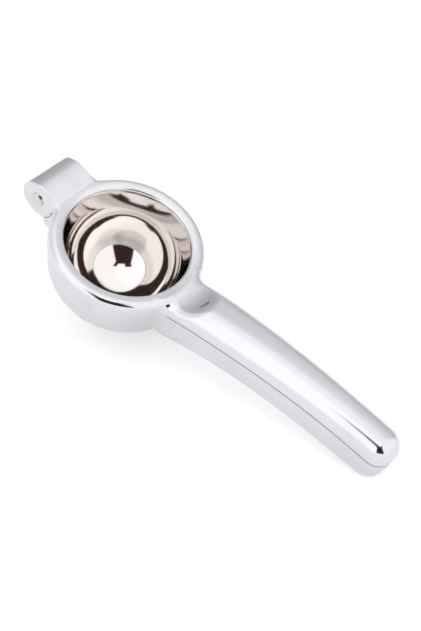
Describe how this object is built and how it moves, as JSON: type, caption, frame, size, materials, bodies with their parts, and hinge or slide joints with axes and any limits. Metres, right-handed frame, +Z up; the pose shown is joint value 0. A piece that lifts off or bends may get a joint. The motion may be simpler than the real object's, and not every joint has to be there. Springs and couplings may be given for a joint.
{
  "type": "hinged citrus squeezer",
  "caption": "Hinged hand squeezer for half a lemon: a press bowl in a long-handled upper ring closes into a perforated strainer cup held by the lower handle.",
  "frame": {"origin": "centre of the base rectangle of the closed squeezer as it lies on a table, on the strainer cup's bottom and the lower handle's tip", "axes": "+X towards the handles' tip, +Z up from the table; the hinge pin lies along Y"},
  "size_m": [0.2132, 0.0758, 0.0677],
  "materials": {
    "chromed_casting": "bright chrome",
    "polished_steel": "mirror polished",
    "pin_steel": "fine ground"
  },
  "bodies": {
    "lower": {"lower_arm": "chromed_casting", "strainer_cup": "polished_steel"},
    "upper": {"upper_arm": "chromed_casting", "press_bowl": "polished_steel", "hinge_pin": "pin_steel"}
  },
  "joints": [
    {"name": "hinge", "type": "hinge", "parent": "lower", "child": "upper", "pos_m": [-0.09679, 0, 0.05777], "axis": [0, -1, 0], "range_deg": [0, 108]}
  ]
}
